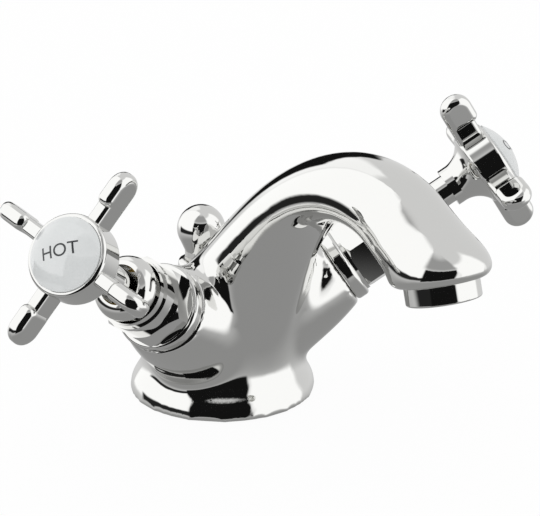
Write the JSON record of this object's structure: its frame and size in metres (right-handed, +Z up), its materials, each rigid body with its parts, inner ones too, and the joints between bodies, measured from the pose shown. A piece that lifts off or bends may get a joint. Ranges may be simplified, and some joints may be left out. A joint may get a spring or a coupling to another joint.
{
  "type": "monobloc basin mixer",
  "caption": "Chrome monobloc basin mixer with a bell foot, swan spout, splayed valves under cross handles with porcelain buttons, and a pull-up knob for the waste.",
  "frame": {"origin": "centre of the foot's underside, on the basin deck", "axes": "+Z up from the deck, -Y along the spout, -X towards the hot valve and +X towards the cold valve"},
  "size_m": [0.167, 0.1281, 0.0827],
  "materials": {
    "polished_chrome": "mirror-polished chrome plate on brass",
    "brass": "machined, unplated",
    "disc_ceramic": "fine-ground ceramic",
    "index_porcelain": "glazed white",
    "rubber": "moulded black rubber",
    "nylon": "moulded white nylon",
    "steel": "stainless steel, plain"
  },
  "bodies": {
    "tap": {"tap_body": "polished_chrome", "base_gasket": "rubber", "rod_guide": "nylon", "aerator_housing": "polished_chrome", "aerator_insert": "nylon", "aerator_seal": "rubber", "hot_seat_washer": "rubber", "hot_fixed_disc": "disc_ceramic", "hot_cartridge": "brass", "hot_bonnet": "polished_chrome", "hot_gland_cap": "polished_chrome", "cold_seat_washer": "rubber", "cold_fixed_disc": "disc_ceramic", "cold_cartridge": "brass", "cold_bonnet": "polished_chrome", "cold_gland_cap": "polished_chrome"},
    "hot_control": {"hot_moving_disc": "disc_ceramic", "hot_spindle": "polished_chrome", "hot_spindle_o_ring": "rubber", "hot_circlip": "steel", "hot_cross_handle": "polished_chrome", "hot_handle_screw": "steel", "hot_index_button": "index_porcelain"},
    "cold_control": {"cold_moving_disc": "disc_ceramic", "cold_spindle": "polished_chrome", "cold_spindle_o_ring": "rubber", "cold_circlip": "steel", "cold_cross_handle": "polished_chrome", "cold_handle_screw": "steel", "cold_index_button": "index_porcelain"},
    "lift_bar": {"lift_rod": "polished_chrome", "lift_knob": "polished_chrome"}
  },
  "joints": [
    {"name": "hot_handle_turn", "type": "hinge", "parent": "tap", "child": "hot_control", "pos_m": [0, 0.0008, 0.013], "axis": [-0.7473, -0.3807, 0.5446], "range_deg": [0, 90]},
    {"name": "cold_handle_turn", "type": "hinge", "parent": "tap", "child": "cold_control", "pos_m": [0, 0.0008, 0.013], "axis": [-0.7473, 0.3807, -0.5446], "range_deg": [0, 90]},
    {"name": "lift_rod_slide", "type": "slide", "parent": "tap", "child": "lift_bar", "axis": [0, 0, 1], "range_m": [0, 0.022]}
  ]
}
